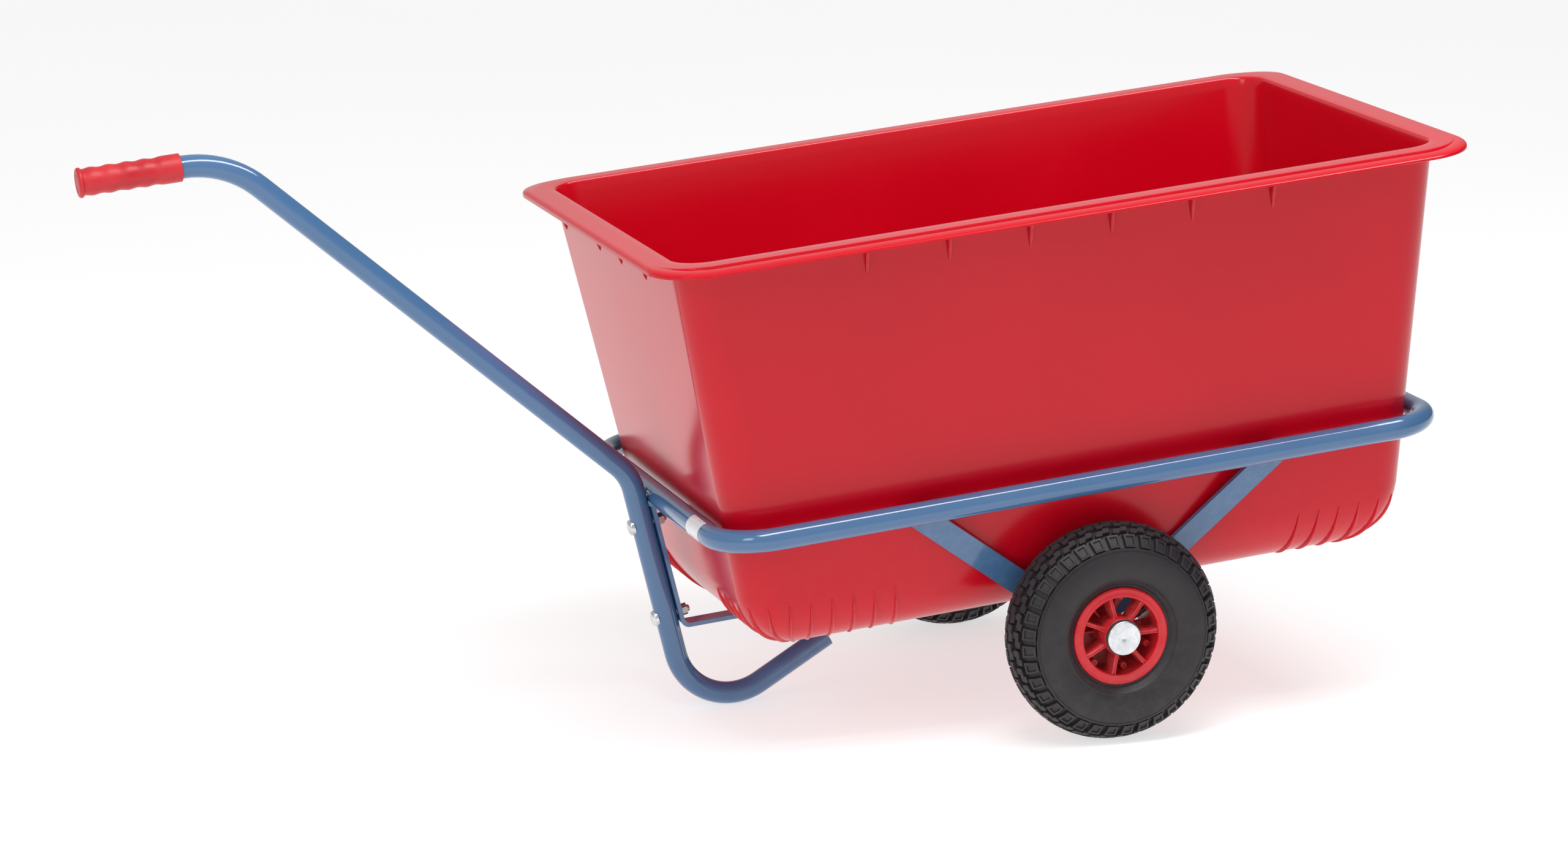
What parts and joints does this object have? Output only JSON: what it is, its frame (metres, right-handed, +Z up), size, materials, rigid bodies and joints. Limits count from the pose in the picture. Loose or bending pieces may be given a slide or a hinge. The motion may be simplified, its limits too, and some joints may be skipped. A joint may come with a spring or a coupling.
{
  "type": "two-wheeled tub hand cart",
  "caption": "Hand cart with a deep tapered plastic tub held in a tube ring, a bent one-hand drawbar with a foot and grip, and pneumatic wheels on a through axle.",
  "frame": {"origin": "on the floor, below the middle of the whole length and of the width, with the cart standing on its foot and wheels", "axes": "+X towards the rear, away from the grip; +Y towards the right-hand wheel; +Z up"},
  "size_m": [1.5962, 0.665, 0.7049],
  "materials": {
    "tub": "satin",
    "frame": "glossy powder coat",
    "zinc": "bright zinc plate",
    "grip": "satin",
    "label": "smooth film",
    "tyre": "matte",
    "inner_tube": "matte",
    "wheel_rim": "satin",
    "bush": "smooth",
    "valve": "satin",
    "black_ring": "smooth"
  },
  "bodies": {
    "chassis": {"ring_frame": "frame", "front_strut_left": "frame", "rear_strut_left": "frame", "front_strut_right": "frame", "rear_strut_right": "frame", "axle": "zinc", "axle_bearer": "frame", "axle_collars": "frame", "cradle_strap": "frame", "drawbar": "frame", "grip": "grip", "drawbar_bolts": "zinc", "drawbar_washers": "zinc", "drawbar_nuts": "zinc", "label_plate": "label", "inner_washer_left": "zinc", "outer_washer_left": "black_ring", "hub_cap_left": "zinc", "inner_washer_right": "zinc", "outer_washer_right": "black_ring", "hub_cap_right": "zinc"},
    "wheel_left": {"tyre_left": "tyre", "inner_tube_left": "inner_tube", "outer_rim_left": "wheel_rim", "inner_rim_left": "wheel_rim", "rim_screws_left": "zinc", "hub_bushes_left": "bush", "valve_left": "valve", "valve_cap_left": "valve"},
    "wheel_right": {"tyre_right": "tyre", "inner_tube_right": "inner_tube", "outer_rim_right": "wheel_rim", "inner_rim_right": "wheel_rim", "rim_screws_right": "zinc", "hub_bushes_right": "bush", "valve_right": "valve", "valve_cap_right": "valve"},
    "tub": {"tub": "tub"}
  },
  "joints": [
    {"name": "left_wheel_spin", "type": "hinge", "parent": "chassis", "child": "wheel_left", "pos_m": [0.35645, -0.2818, 0.13], "axis": [0, 1, 0], "continuous": true},
    {"name": "right_wheel_spin", "type": "hinge", "parent": "chassis", "child": "wheel_right", "pos_m": [0.35645, 0.2818, 0.13], "axis": [0, 1, 0], "continuous": true},
    {"name": "tub_lift", "type": "slide", "parent": "chassis", "child": "tub", "axis": [-0.0989, 0, 0.9951], "range_m": [0, 0.2]}
  ]
}
